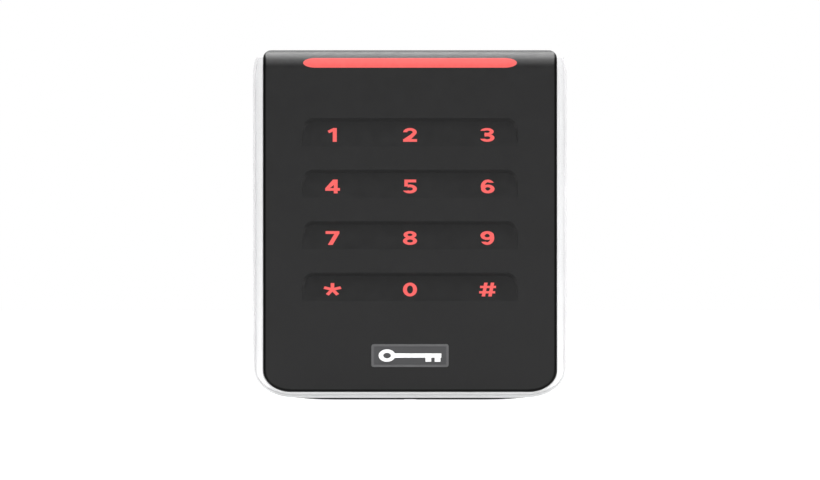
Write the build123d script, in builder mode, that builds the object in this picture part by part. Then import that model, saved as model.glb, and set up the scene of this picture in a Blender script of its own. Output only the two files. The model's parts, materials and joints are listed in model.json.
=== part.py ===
from build123d import *
import os
from math import cos, radians, sin, tan

os.makedirs("parts", exist_ok=True)

# Wall-mounted keypad access reader, as an assembly of separate pieces.
#
# Frame: the origin is the centre of the mounting plate's wall face. +X is to the right as seen
# from the front, +Y goes into the wall and +Z is up, so the front face looks along -Y.
# All sizes are in millimetres.

# ---------------------------------------------------------------- driving dimensions

face_y = -19.5                # front face of the cover, so the reader is 19.5 deep
half_height = 60.75
cover_half_width = 51.2
cover_bottom_z = -58.43
cover_corner_x = 9.8          # bottom corners are elliptical: wide and low
cover_corner_z = 7.5
cover_top_corner = 2.9
cover_edge_radius = 1.2
cover_wall = 2.1
cover_inner_y = -16.8
skirt_end_y = -7.2
rollover_radius = 6.5         # the face rolls over into the top

trim_half_width = 54.9
trim_bottom_z = -60.64
trim_top_z = 58.2
trim_lean_z = 52.0            # above this height the trim's outer edge leans inwards
trim_lean = 1.0
trim_front_y = -18.2
trim_step_y = -9.4
trim_end_y = -6.65

belly_bottom_z = -61.35       # the rear housing's bottom edge, a little below the trim
flange_front_y = -6.6
housing_end_y = -0.5
rear_wall_front_y = -7.2
rear_wall_back_y = -5.2
tub_front_y = -16.2
tub_wall = 1.8
fit_gap = 0.2

plate_thickness = 2.5
plate_top_z = 53.3
plate_gap = 0.7

hinge_y = -3.8                # axis of the hook bars that the reader hangs on
hinge_z = 55.0
hook_x = 28.0
hook_bar_radius = 1.5
hook_bar_length = 12.0
hook_arm = 1.5
cradle_width = 10.0
cradle_outer_radius = 3.2
hinge_clearance = 0.05

screw_y = -4.8                # M3 security screw, up through the bottom edge
thread_radius = 1.5
thread_pitch = 0.5
screw_turns = 8
running_clearance = 0.05
head_radius = 2.6
head_height = 2.0
shank_length = 6.8
washer_thickness = 0.5
counterbore_radius = 2.8
seat_z = -53.5
boss_radius = 3.7
boss_top_z = -51.4
tab_bottom_z = -50.5
tab_thickness = 3.0
pocket_top_z = -45.0

key_columns = (-27.0, 0.0, 27.0)
key_row_tops = (37.0, 19.05, 1.1, -16.85)
scoop_half_width = 37.6
scoop_height = 9.85
scoop_depth = 1.1
scoop_corner = 4.4
scoop_lip = 0.1               # the rounded step starts this far above a scoop's nominal top
scoop_lip_radius = 0.35
scoop_root_radius = 0.9
scoop_steepness = 75.0        # the step's angle to the face, between its two curves, in degrees
scoop_taper = 50.0            # the scoops' ends open outwards at this angle, in degrees
legend_drop = 5.9             # from a scoop's top edge to its legends' middle
legend_root_y = -17.6
window_end_y = -17.2

light_bar_z = 56.2
light_bar_length = 74.4
light_bar_height = 3.4
light_bar_tip = 4.2           # length of its pointed ends
light_bar_back_y = -15.6
lamp_row_z = 55.2

badge_z = -45.73
badge_length = 26.9
badge_height = 7.95
badge_corner = 0.85

diffuser_back_y = -15.9
keypad_front_y = -15.8        # front of the keypad board, behind its touch pads
keypad_back_y = -14.8
ferrite_back_y = -14.5
main_front_y = -12.5
main_back_y = -11.3

terminal_z = 21.5
terminal_pitch = 3.5
terminal_count = 10
tamper_x = 26.0
tamper_z = -20.0


# ---------------------------------------------------------------- shared outlines and helpers

def facing(y):
    """Plane at depth y that faces the front: local x is X, local y is Z, and its normal is -Y."""
    return Plane.XZ.offset(-y)


def rounded_outline(half_width, top, bottom, corner_x, corner_z, top_corner):
    """Upright outline with elliptical bottom corners and round top corners."""
    with BuildSketch() as outline:
        with BuildLine():
            left = EllipticalCenterArc(
                (-half_width + corner_x, bottom + corner_z), corner_x, corner_z, 180
            )
            right = EllipticalCenterArc(
                (half_width - corner_x, bottom + corner_z), corner_x, corner_z, 270
            )
            top_right = CenterArc((half_width - top_corner, top - top_corner), top_corner, 0, 90)
            top_left = CenterArc((-half_width + top_corner, top - top_corner), top_corner, 90, 90)
            Line(left @ 1, right @ 0)
            Line(right @ 1, top_right @ 0)
            Line(top_right @ 1, top_left @ 0)
            Line(top_left @ 1, left @ 0)
        make_face()
    return outline.sketch


def cover_outline(inset, top_corner=1.0):
    """The cover's outline, moved inwards by inset."""
    return rounded_outline(
        cover_half_width - inset,
        half_height - inset,
        cover_bottom_z + inset,
        cover_corner_x - inset,
        cover_corner_z - inset,
        top_corner,
    )


def leaning_outline(half_width, bottom, corner_x, corner_z, top=trim_top_z):
    """Outline whose sides lean in near the top, as the trim's do."""
    top_half_width = half_width - trim_lean
    with BuildSketch() as outline:
        with BuildLine():
            left = EllipticalCenterArc(
                (-half_width + corner_x, bottom + corner_z), corner_x, corner_z, 180
            )
            right = EllipticalCenterArc(
                (half_width - corner_x, bottom + corner_z), corner_x, corner_z, 270
            )
            Line(left @ 1, right @ 0)
            right_side = Line(right @ 1, (half_width, trim_lean_z))
            right_lean = TangentArc(right_side @ 1, (top_half_width, top), tangent=(0, 1))
            left_side = Line(left @ 0, (-half_width, trim_lean_z))
            left_lean = TangentArc(left_side @ 1, (-top_half_width, top), tangent=(0, 1))
            Line(right_lean @ 1, left_lean @ 1)
        make_face()
    return outline.sketch


def side_profile(front, top, radius):
    """Seen from the side: a block whose top front edge is rolled over."""
    back = 1.0
    bottom = -half_height - 1.0
    with BuildSketch() as profile:
        with BuildLine():
            roll = CenterArc((front + radius, top - radius), radius, 90, 90)
            Polyline(roll @ 1, (front, bottom), (back, bottom), (back, top), roll @ 0)
        make_face()
    return profile.sketch


def light_bar_outline():
    """A long bar with elliptical ends."""
    with BuildSketch() as outline:
        with Locations((0, light_bar_z)):
            Rectangle(light_bar_length - 2 * light_bar_tip, light_bar_height)
        tip_x = light_bar_length / 2 - light_bar_tip
        with Locations((-tip_x, light_bar_z), (tip_x, light_bar_z)):
            Ellipse(light_bar_tip, light_bar_height / 2)
    return outline.sketch


def row_of(count, pitch):
    """Offsets of count things in a row, centred on zero."""
    return [(index - (count - 1) / 2) * pitch for index in range(count)]


def finish(piece, name):
    """Label a finished piece and write it out."""
    piece.part.label = name
    export_step(piece.part, f"parts/{name}.step")


across = 2 * cover_half_width + 4.0      # long enough to cut across the whole width
side_plane = Plane.YZ.offset(-across / 2)


# ---------------------------------------------------------------- shared cutters

# The space inside the cover.
with BuildPart() as cover_cavity:
    with BuildSketch(facing(0)):
        add(cover_outline(cover_wall))
    extrude(amount=-cover_inner_y)
    with BuildSketch(side_plane):
        add(side_profile(cover_inner_y, half_height - cover_wall, 4.0))
    extrude(amount=across, mode=Mode.INTERSECT)

# The four sloping scoops that guide a finger to a row of keys. Each is deepest at its top edge,
# where a step with a rounded lip and a rounded root leads down into it.
with BuildPart() as scoops:
    scoop_inset = (cover_inner_y - face_y) * tan(radians(scoop_taper))
    with BuildSketch(facing(cover_inner_y)):
        half_width = scoop_half_width - scoop_inset
        corner = scoop_corner - scoop_inset
        for top in key_row_tops:
            high = top + scoop_lip - scoop_inset
            low = top - 1.2 * scoop_height
            with BuildLine():
                left = CenterArc((-half_width + corner, high - corner), corner, 90, 90)
                right = CenterArc((half_width - corner, high - corner), corner, 0, 90)
                Line(left @ 0, right @ 1)
                Polyline(right @ 0, (half_width, low), (-half_width, low), left @ 1)
            make_face()
    extrude(amount=4.0, taper=-scoop_taper)
    with BuildSketch(side_plane):
        steep = radians(scoop_steepness)
        lip_depth = scoop_lip_radius * (1 - cos(steep))
        lip_fall = scoop_lip_radius * sin(steep)
        root_depth = scoop_root_radius * (1 - cos(steep))
        root_fall = scoop_root_radius * sin(steep)
        straight_fall = (scoop_depth - lip_depth - root_depth) / tan(steep)
        above = face_y - 0.4
        for top in key_row_tops:
            lip = (face_y, top + scoop_lip)
            lip_end = (face_y + lip_depth, top + scoop_lip - lip_fall)
            root_start = (face_y + scoop_depth - root_depth, lip_end[1] - straight_fall)
            root = (face_y + scoop_depth, root_start[1] - root_fall)
            with BuildLine():
                lip_curve = TangentArc(lip, lip_end, tangent=(0, -1))
                root_curve = TangentArc(root, root_start, tangent=(0, 1))
                Line(lip_curve @ 1, root_curve @ 1)
                Polyline(
                    root,
                    (face_y, top - scoop_height),
                    (above, top - scoop_height),
                    (above, top + scoop_lip),
                    lip,
                )
            make_face()
    extrude(amount=across, mode=Mode.INTERSECT)

# Room for the screw boss through the bottom of the cover, the trim and the gasket.
with BuildPart() as boss_notch:
    with BuildSketch(Plane.XY.offset(belly_bottom_z - 1.0)):
        notch_radius = boss_radius + fit_gap
        with Locations((0, screw_y)):
            Circle(notch_radius)
        with Locations((0, screw_y / 2)):
            Rectangle(2 * notch_radius, -screw_y)
    extrude(amount=12.0)


# ---------------------------------------------------------------- key legends

legend_half = 2.4             # half the height of a digit


def ring(x, z, outer_x, outer_z, inner_x, inner_z):
    """A flattened ring, for the bowls of digits."""
    with BuildSketch() as shape:
        with Locations((x, z)):
            Ellipse(outer_x, outer_z)
            Ellipse(inner_x, inner_z, mode=Mode.SUBTRACT)
    return shape.sketch


def bar(left, right, low, high):
    """A level or upright stroke."""
    with BuildSketch() as shape:
        with Locations(((left + right) / 2, (low + high) / 2)):
            Rectangle(right - left, high - low)
    return shape.sketch


def stroke(*corners):
    """A stroke with slanting sides, given by its corners."""
    with BuildSketch() as shape:
        with BuildLine():
            Polyline(*corners, close=True)
        make_face()
    return shape.sketch


def glyph(added, removed=(), added_last=()):
    """Join strokes, take some away, then join the last ones."""
    with BuildSketch() as shape:
        for piece in added:
            add(piece)
        for piece in removed:
            add(piece, mode=Mode.SUBTRACT)
        for piece in added_last:
            add(piece)
    return shape.sketch


def star_glyph():
    """Five arms, wider than they are high."""
    arm_length = 2.25
    arm_half = 0.46
    stretch = 1.37
    arms = []
    for index in range(5):
        turn = radians(90 + 72 * index)
        along = (cos(turn), sin(turn))
        beside = (-sin(turn) * arm_half, cos(turn) * arm_half)
        end = (along[0] * arm_length, along[1] * arm_length)
        arms.append(
            stroke(
                (stretch * beside[0], beside[1]),
                (stretch * (end[0] + beside[0]), end[1] + beside[1]),
                (stretch * (end[0] - beside[0]), end[1] - beside[1]),
                (-stretch * beside[0], -beside[1]),
            )
        )
    return glyph(arms)


def six_glyph(turn=0):
    """A six, or a nine when turned by half a circle."""
    six = glyph(
        [ring(0.1, 0, 2.45, legend_half, 1.05, 1.45)],
        [bar(-0.2, 2.7, -0.9, 1.3)],
        [ring(0.1, -0.87, 2.35, 1.53, 0.95, 0.62)],
    )
    with BuildSketch() as shape:
        add(six, rotation=turn)
    return shape.sketch


glyphs = {
    "1": stroke(
        (0.1, -2.4), (1.5, -2.4), (1.5, 2.4), (0.3, 2.4), (-1.7, 1.45), (-1.2, 0.6), (0.1, 1.15)
    ),
    "2": glyph(
        [ring(0, 0.95, 2.35, 1.45, 0.95, 0.55)],
        [bar(-2.6, 0.4, -0.6, 0.95)],
        [
            stroke((2.15, 0.35), (0.35, -1.5), (-2.4, -1.6), (0.9, 0.6), (2.3, 0.75)),
            bar(-2.4, 2.45, -2.4, -1.45),
        ],
    ),
    "3": glyph(
        [ring(-0.2, 1.14, 2.35, 1.26, 0.95, 0.42), ring(-0.1, -1.0, 2.5, 1.4, 1.05, 0.52)],
        [bar(-3.0, -0.95, -1.35, 1.45)],
        [bar(-1.1, 0.6, -0.32, 0.5)],
    ),
    "4": glyph(
        [
            bar(0.45, 1.8, -2.4, 2.4),
            bar(-2.5, 2.6, -1.5, -0.55),
            stroke((0.2, 2.4), (1.2, 2.4), (1.2, 1.1), (-0.9, -0.6), (-2.5, -0.6)),
        ]
    ),
    "5": glyph(
        [ring(-0.1, -0.85, 2.5, 1.55, 1.1, 0.6)],
        [bar(-2.7, -0.8, -1.45, 0.1)],
        [bar(-1.95, 2.15, 1.42, 2.4), bar(-1.95, -0.75, 0.0, 2.4)],
    ),
    "6": six_glyph(),
    "7": glyph([bar(-2.4, 2.4, 1.42, 2.4), stroke((2.4, 1.6), (0.05, -2.4), (-1.6, -2.4), (0.75, 1.6))]),
    "8": glyph([ring(0, 1.12, 2.25, 1.28, 0.85, 0.45), ring(0, -1.02, 2.45, 1.38, 1.05, 0.52)]),
    "9": six_glyph(180),
    "star": star_glyph(),
    "0": glyph([ring(0, 0, 2.45, legend_half, 1.05, 1.4)]),
    "hash": glyph(
        [
            stroke((-2.05, -2.4), (-0.85, -2.4), (0.05, 2.4), (-1.15, 2.4)),
            stroke((0.25, -2.4), (1.45, -2.4), (2.35, 2.4), (1.15, 2.4)),
            bar(-2.6, 2.95, 0.5, 1.3),
            bar(-2.9, 2.65, -1.35, -0.55),
        ]
    ),
}

key_places = [(x, top - legend_drop) for top in key_row_tops for x in key_columns]

# The legends are light-passing plastic moulded into the cover, flush with the sloping scoops.
for (name, shape), (x, z) in zip(glyphs.items(), key_places):
    with BuildPart() as key_legend:
        with BuildSketch(facing(legend_root_y)):
            with Locations((x, z)):
                add(shape)
        extrude(amount=legend_root_y - face_y)
        add(scoops.part, mode=Mode.SUBTRACT)
    finish(key_legend, f"key_legend_{name}")


# ---------------------------------------------------------------- light bar

# A clear bar that shows the reader's state. It follows the rolled-over top of the face.
with BuildPart() as light_bar:
    with BuildSketch(facing(light_bar_back_y)):
        add(light_bar_outline())
    extrude(amount=light_bar_back_y - face_y)
    with BuildSketch(side_plane):
        add(side_profile(face_y, half_height, rollover_radius))
    extrude(amount=across, mode=Mode.INTERSECT)
    # A narrower rib behind it gathers light from the row of lamps.
    rib_back_y = main_front_y - 1.0
    with BuildSketch(facing(rib_back_y)):
        with Locations((0, lamp_row_z + 0.2)):
            Rectangle(light_bar_length - 2 * light_bar_tip, 2.0)
    extrude(amount=rib_back_y - light_bar_back_y)
finish(light_bar, "light_bar")


# ---------------------------------------------------------------- front cover

badge_recess_y = face_y + 0.75
badge_recess_gap = 0.05
housing_screw_places = [(x, z) for x in (-43.0, 43.0) for z in (-47.0, 52.0)]
housing_screw_radius = 1.25
cover_boss_radius = 3.0
window_x = 4.0
window_z = 3.0

with BuildPart() as front_cover:
    with BuildSketch(facing(skirt_end_y)):
        with BuildLine():
            left_corner = EllipticalCenterArc(
                (-cover_half_width + cover_corner_x, cover_bottom_z + cover_corner_z),
                cover_corner_x, cover_corner_z, 180,
            )
            right_corner = EllipticalCenterArc(
                (cover_half_width - cover_corner_x, cover_bottom_z + cover_corner_z),
                cover_corner_x, cover_corner_z, 270,
            )
            Line(left_corner @ 1, right_corner @ 0)
            Polyline(
                right_corner @ 1,
                (cover_half_width, half_height),
                (-cover_half_width, half_height),
                left_corner @ 0,
            )
        make_face()
    extrude(amount=skirt_end_y - face_y)
    with BuildSketch(side_plane):
        add(side_profile(face_y, half_height, rollover_radius))
    extrude(amount=across, mode=Mode.INTERSECT)
    # Round the front edge along the sides and bottom, and over the roll-over to the back.
    face_edges = front_cover.faces().sort_by(Axis.Y)[0].edges()
    lower_edges = [edge for edge in face_edges if edge.center().Z < 50]
    side_edges = [
        edge
        for edge in front_cover.edges()
        if abs(abs(edge.center().X) - cover_half_width) < 0.01
        and edge.center().Z > 54
        and edge.center().Y < skirt_end_y - 0.1
    ]
    fillet(lower_edges + side_edges, cover_edge_radius)
    # Round the top corners, as seen from the front.
    with BuildSketch(facing(0)):
        add(cover_outline(0, top_corner=cover_top_corner))
    extrude(amount=-face_y + 1.0, mode=Mode.INTERSECT)
    add(cover_cavity.part, mode=Mode.SUBTRACT)
    # Bosses that take the screws from the rear housing.
    boss_end_y = rear_wall_front_y - running_clearance
    with BuildSketch(facing(boss_end_y)):
        with Locations(*housing_screw_places):
            Circle(cover_boss_radius)
    extrude(amount=boss_end_y - cover_inner_y)
    with BuildSketch(facing(rear_wall_front_y)):
        with Locations(*housing_screw_places):
            Circle(housing_screw_radius + running_clearance)
    extrude(amount=7.5, mode=Mode.SUBTRACT)
    add(scoops.part, mode=Mode.SUBTRACT)
    # Recess for the badge.
    with BuildSketch(facing(badge_recess_y)):
        with Locations((0, badge_z)):
            RectangleRounded(
                badge_length + 2 * badge_recess_gap,
                badge_height + 2 * badge_recess_gap,
                badge_corner + badge_recess_gap,
            )
    extrude(amount=2.0, mode=Mode.SUBTRACT)
    # Opening for the light bar.
    with BuildSketch(facing(cover_inner_y + 3.0)):
        add(light_bar_outline())
    extrude(amount=7.0, mode=Mode.SUBTRACT)
    # Pockets for the legends, with thin windows behind them that the light comes through.
    for shape, place in zip(glyphs.values(), key_places):
        with BuildSketch(facing(legend_root_y)):
            with Locations(place):
                add(shape)
        extrude(amount=3.0, mode=Mode.SUBTRACT)
    with BuildSketch(facing(cover_inner_y)):
        with Locations(*key_places):
            Ellipse(window_x, window_z)
    extrude(amount=cover_inner_y - window_end_y, mode=Mode.SUBTRACT)
    add(boss_notch.part, mode=Mode.SUBTRACT)
finish(front_cover, "front_cover")


# ---------------------------------------------------------------- silver trim

# Corner semi-axes of the trim's outer lip, of the step in front of it and of its front rim.
lip_corner = (14.4, 10.2)
step_corner = (13.4, 9.1)
rim_corner = (10.5, 8.0)
step_depth = 0.9
lip_radius = 0.35
rim_half_width = 51.75
rim_bottom_z = -58.88

with BuildPart() as trim_bezel:
    # The outer lip, next to the housing.
    with BuildSketch(facing(trim_end_y)):
        add(leaning_outline(trim_half_width, trim_bottom_z, *lip_corner))
    extrude(amount=trim_end_y - trim_step_y)
    lip_edges = trim_bezel.faces().sort_by(Axis.Y)[0].edges()
    fillet([edge for edge in lip_edges if edge.center().Z < trim_top_z - 0.1], lip_radius)
    # The tapered face, from the step to the front rim.
    with BuildSketch(facing(trim_step_y)):
        add(leaning_outline(
            trim_half_width - step_depth, trim_bottom_z + step_depth, *step_corner
        ))
    with BuildSketch(facing(trim_front_y)):
        add(leaning_outline(rim_half_width, rim_bottom_z, *rim_corner))
    loft(ruled=True)
    # Room for the cover's skirt and for the screw boss.
    with BuildSketch(facing(0)):
        add(cover_outline(-running_clearance, top_corner=cover_top_corner))
    extrude(amount=-face_y, mode=Mode.SUBTRACT)
    add(boss_notch.part, mode=Mode.SUBTRACT)
finish(trim_bezel, "trim_bezel")


# ---------------------------------------------------------------- rear housing

recess_inset = 2.4            # from the cover's outline to the recess that the plate sits in
tub_inset = cover_wall + fit_gap
belly_half_width = 44.0
belly_flat_half_width = 26.0
flange_inset = 0.9            # the flange's sides stay behind the trim
flange_drop = 0.25            # and so does its bottom, away from the belly
flange_bottom_z = trim_bottom_z + flange_drop
rib_x = 42.0
rib_clearance = 0.1

relief_top_y = -2.6           # the top rear edge is cut back so that the reader can swing

terminal_half_width = terminal_pitch * terminal_count / 2 + 2.4
terminal_half_height = 5.2
terminal_gap = 0.7

standoff_places = [(x, z) for x in (-34.0, 34.0) for z in (-37.0, 44.0)]
standoff_radius = 2.6
board_screw_radius = 0.95

tamper_shaft_radius = 1.5

pocket_half_width = 7.2
pocket_front_y = -8.6
pocket_wall = 1.3

with BuildPart() as rear_housing:
    # The tub that holds the electronics, inside the cover's skirt.
    with BuildSketch(facing(rear_wall_back_y)):
        add(cover_outline(tub_inset, top_corner=1.5))
    extrude(amount=rear_wall_back_y - tub_front_y)
    with BuildSketch(side_plane):
        add(side_profile(tub_front_y, half_height - tub_inset, 4.2))
    extrude(amount=across, mode=Mode.INTERSECT)
    with BuildSketch(facing(rear_wall_front_y)):
        add(cover_outline(tub_inset + tub_wall, top_corner=1.0))
    extrude(amount=20.0, mode=Mode.SUBTRACT)
    # The flange behind the trim, with a shallow belly along its bottom edge.
    with BuildSketch(facing(housing_end_y)):
        add(leaning_outline(
            trim_half_width - flange_inset,
            flange_bottom_z,
            lip_corner[0] - flange_inset,
            lip_corner[1] - flange_drop,
            top=trim_top_z - 0.4,
        ))
        add(cover_outline(0.4, top_corner=cover_top_corner))
        with BuildLine():
            left_rise = TangentArc(
                (-belly_flat_half_width, belly_bottom_z),
                (-belly_half_width, flange_bottom_z),
                tangent=(-1, 0),
            )
            right_rise = TangentArc(
                (belly_flat_half_width, belly_bottom_z),
                (belly_half_width, flange_bottom_z),
                tangent=(1, 0),
            )
            Line(left_rise @ 0, right_rise @ 0)
            Polyline(
                right_rise @ 1,
                (belly_half_width, flange_bottom_z + 3.0),
                (-belly_half_width, flange_bottom_z + 3.0),
                left_rise @ 1,
            )
        make_face()
    extrude(amount=housing_end_y - flange_front_y)
    # The recess that the mounting plate sits in.
    with BuildSketch(facing(0)):
        add(cover_outline(recess_inset, top_corner=1.5))
    extrude(amount=-rear_wall_back_y, mode=Mode.SUBTRACT)
    # Ribs that bear on the plate.
    rib_end_y = -plate_thickness - rib_clearance
    with BuildSketch(facing(rib_end_y)):
        with Locations((-rib_x, 0), (rib_x, 0)):
            Rectangle(1.5, 76.0)
    extrude(amount=rib_end_y - rear_wall_back_y)
    # Cradles that hang on the plate's hook bars.
    for x in (-hook_x, hook_x):
        with BuildSketch(Plane.YZ.offset(x - cradle_width / 2)):
            with Locations((hinge_y, hinge_z)):
                Circle(cradle_outer_radius)
            with Locations((hinge_y, hinge_z - 0.5)):
                Rectangle(2 * cradle_outer_radius, 1.0)
            with Locations((hinge_y, hinge_z + 1.8)):
                Rectangle(2 * cradle_outer_radius, 3.4)
            with Locations((hinge_y, hinge_z - 3.0)):
                Rectangle(10.0, 4.0, mode=Mode.SUBTRACT)
        extrude(amount=cradle_width)
        # The groove for the bar is open downwards, and the arms beside it need room too.
        with BuildSketch(Plane.YZ.offset(x - cradle_width / 2)):
            with Locations((hinge_y, hinge_z)):
                Circle(hook_bar_radius + hinge_clearance)
            with Locations((hinge_y, hinge_z - 1.0)):
                Rectangle(2 * (hook_bar_radius + hinge_clearance), 2.0)
        extrude(amount=cradle_width, mode=Mode.SUBTRACT)
        arm_reach = hook_bar_length / 2 + hook_arm + 0.5
        for side in (-1, 1):
            middle = x + side * (cradle_width / 2 + arm_reach) / 2
            with BuildSketch(Plane.YZ.offset(middle)):
                with Locations((hinge_y, hinge_z)):
                    Circle(hook_bar_radius + 0.5)
            extrude(amount=(arm_reach - cradle_width / 2) / 2, both=True, mode=Mode.SUBTRACT)
    # The pocket that the plate's tab goes into, and the boss around the security screw.
    with BuildSketch(facing(rear_wall_back_y)):
        with Locations((0, (pocket_top_z + pocket_wall + cover_bottom_z + tub_inset) / 2)):
            Rectangle(
                2 * (pocket_half_width + pocket_wall),
                pocket_top_z + pocket_wall - cover_bottom_z - tub_inset,
            )
    extrude(amount=rear_wall_back_y - pocket_front_y + pocket_wall)
    with BuildSketch(Plane.XY.offset(trim_bottom_z)):
        with Locations((0, screw_y)):
            Circle(boss_radius)
    extrude(amount=boss_top_z - trim_bottom_z)
    with BuildSketch(facing(rear_wall_back_y + 0.1)):
        with Locations((0, (pocket_top_z + boss_top_z) / 2)):
            Rectangle(2 * pocket_half_width, pocket_top_z - boss_top_z)
    extrude(amount=rear_wall_back_y + 0.1 - pocket_front_y, mode=Mode.SUBTRACT)
    bore_start_z = belly_bottom_z - 0.5
    with BuildSketch(Plane.XY.offset(bore_start_z)):
        with Locations((0, screw_y)):
            Circle(counterbore_radius)
    extrude(amount=seat_z - bore_start_z, mode=Mode.SUBTRACT)
    with BuildSketch(Plane.XY.offset(bore_start_z)):
        with Locations((0, screw_y)):
            Circle(thread_radius + 2 * running_clearance)
    extrude(amount=pocket_top_z - 1.0 - bore_start_z, mode=Mode.SUBTRACT)
    # The opening for the terminal block, and the guide for the tamper plunger.
    with BuildSketch(facing(0)):
        with Locations((0, terminal_z)):
            Rectangle(
                2 * (terminal_half_width + terminal_gap), 2 * (terminal_half_height + terminal_gap)
            )
        with Locations((tamper_x, tamper_z)):
            Circle(tamper_shaft_radius + running_clearance)
        with Locations(*housing_screw_places):
            Circle(housing_screw_radius + 0.2)
    extrude(amount=9.0, mode=Mode.SUBTRACT)
    # Standoffs for the main board.
    with BuildSketch(facing(rear_wall_front_y)):
        with Locations(*standoff_places):
            Circle(standoff_radius)
    extrude(amount=rear_wall_front_y - main_back_y)
    with BuildSketch(facing(rear_wall_front_y)):
        with Locations(*standoff_places):
            Circle(board_screw_radius + running_clearance)
    extrude(amount=6.0, mode=Mode.SUBTRACT)
    # Cut the top rear edge back, so that it clears the wall when the reader swings out.
    with BuildSketch(side_plane):
        with BuildLine():
            Polyline(
                (housing_end_y - 0.2, 56.0),
                (relief_top_y, half_height),
                (2.0, half_height),
                (2.0, 56.0),
                close=True,
            )
        make_face()
    extrude(amount=across + 20.0, mode=Mode.SUBTRACT)
finish(rear_housing, "rear_housing")


# ---------------------------------------------------------------- gasket and housing screws

with BuildPart() as housing_gasket:
    with BuildSketch(facing(flange_front_y)):
        add(cover_outline(0.2, top_corner=2.6))
        add(cover_outline(2.0, top_corner=1.5), mode=Mode.SUBTRACT)
    extrude(amount=flange_front_y - skirt_end_y)
    add(boss_notch.part, mode=Mode.SUBTRACT)
finish(housing_gasket, "housing_gasket")

with BuildPart() as housing_screws:
    with BuildSketch(facing(rear_wall_back_y)):
        with Locations(*housing_screw_places):
            Circle(housing_screw_radius)
    extrude(amount=9.0)
    with BuildSketch(facing(rear_wall_back_y + 1.7)):
        with Locations(*housing_screw_places):
            Circle(2.3)
    extrude(amount=1.7)
    with BuildSketch(facing(rear_wall_back_y + 1.7)):
        with Locations(*housing_screw_places):
            Rectangle(2.6, 0.6)
            Rectangle(0.6, 2.6)
    extrude(amount=1.0, mode=Mode.SUBTRACT)
finish(housing_screws, "housing_screws")


# ---------------------------------------------------------------- badge

badge_face_y = face_y + 0.3
badge_border = 0.75

with BuildPart() as badge_plate:
    with BuildSketch(facing(badge_recess_y)):
        with Locations((0, badge_z)):
            RectangleRounded(badge_length, badge_height, badge_corner)
    extrude(amount=badge_recess_y - badge_face_y)
    with BuildSketch(facing(badge_face_y)):
        with Locations((0, badge_z)):
            RectangleRounded(badge_length, badge_height, badge_corner)
            RectangleRounded(
                badge_length - 2 * badge_border, badge_height - 2 * badge_border, 0.3,
                mode=Mode.SUBTRACT,
            )
    extrude(amount=0.25)
finish(badge_plate, "badge_plate")

# A plain key: a bow with a hole, a shank and two teeth.
with BuildPart() as badge_symbol:
    with BuildSketch(facing(badge_face_y)):
        with Locations((-8.0, badge_z)):
            Ellipse(2.9, 2.15)
            Ellipse(1.35, 0.95, mode=Mode.SUBTRACT)
        with Locations((2.8, badge_z)):
            Rectangle(16.2, 1.5)
        with Locations((6.4, badge_z - 1.1), (9.6, badge_z - 1.1)):
            Rectangle(2.0, 2.1)
    extrude(amount=0.22)
finish(badge_symbol, "badge_symbol")


# ---------------------------------------------------------------- keypad behind the cover

keypad_half_width = 41.0
keypad_low_z = -31.0
keypad_high_z = 43.8
keypad_middle_z = (keypad_low_z + keypad_high_z) / 2
keypad_height = keypad_high_z - keypad_low_z
lamp_x = 1.6
lamp_z = 0.8

with BuildPart() as keypad_diffuser:
    with BuildSketch(facing(diffuser_back_y)):
        with Locations((0, keypad_middle_z)):
            RectangleRounded(2 * keypad_half_width, keypad_height, 2.0)
    extrude(amount=diffuser_back_y - cover_inner_y)
    with BuildSketch(facing(cover_inner_y)):
        with Locations(*key_places):
            Ellipse(window_x - 0.1, window_z - 0.1)
    extrude(amount=cover_inner_y - window_end_y)
    with BuildSketch(facing(diffuser_back_y)):
        with Locations(*key_places):
            Rectangle(lamp_x + 0.6, lamp_z + 0.6)
    extrude(amount=0.7, mode=Mode.SUBTRACT)
finish(keypad_diffuser, "keypad_diffuser")

with BuildPart() as touch_pads:
    with BuildSketch(facing(keypad_front_y)):
        with Locations(*key_places):
            RectangleRounded(18.0, 11.0, 1.5)
            Rectangle(lamp_x + 0.8, lamp_z + 0.8, mode=Mode.SUBTRACT)
    extrude(amount=keypad_front_y - diffuser_back_y)
finish(touch_pads, "touch_pads")

with BuildPart() as keypad_leds:
    with BuildSketch(facing(keypad_front_y)):
        with Locations(*key_places):
            Rectangle(lamp_x, lamp_z)
    extrude(amount=0.55)
finish(keypad_leds, "keypad_leds")

with BuildPart() as keypad_board:
    with BuildSketch(facing(keypad_back_y)):
        with Locations((0, keypad_middle_z)):
            RectangleRounded(2 * keypad_half_width, keypad_height, 2.0)
    extrude(amount=keypad_back_y - keypad_front_y)
finish(keypad_board, "keypad_board")


# ---------------------------------------------------------------- reader antenna

antenna_half_width = 45.2
antenna_low_z = -35.4
antenna_high_z = 48.0
antenna_middle_z = (antenna_low_z + antenna_high_z) / 2
antenna_height = antenna_high_z - antenna_low_z
former_width = 3.9
groove_back_y = cover_inner_y + 1.2

with BuildPart() as antenna_former:
    with BuildSketch(facing(keypad_back_y)):
        with Locations((0, antenna_middle_z)):
            RectangleRounded(2 * antenna_half_width, antenna_height, 5.0)
            RectangleRounded(
                2 * (antenna_half_width - former_width), antenna_height - 2 * former_width, 2.5,
                mode=Mode.SUBTRACT,
            )
    extrude(amount=keypad_back_y - cover_inner_y)
    with BuildSketch(facing(groove_back_y)):
        with Locations((0, antenna_middle_z)):
            RectangleRounded(2 * antenna_half_width - 2.0, antenna_height - 2.0, 4.0)
            RectangleRounded(
                2 * antenna_half_width - 5.8, antenna_height - 5.8, 2.5, mode=Mode.SUBTRACT
            )
    extrude(amount=2.0, mode=Mode.SUBTRACT)
finish(antenna_former, "antenna_former")

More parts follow.
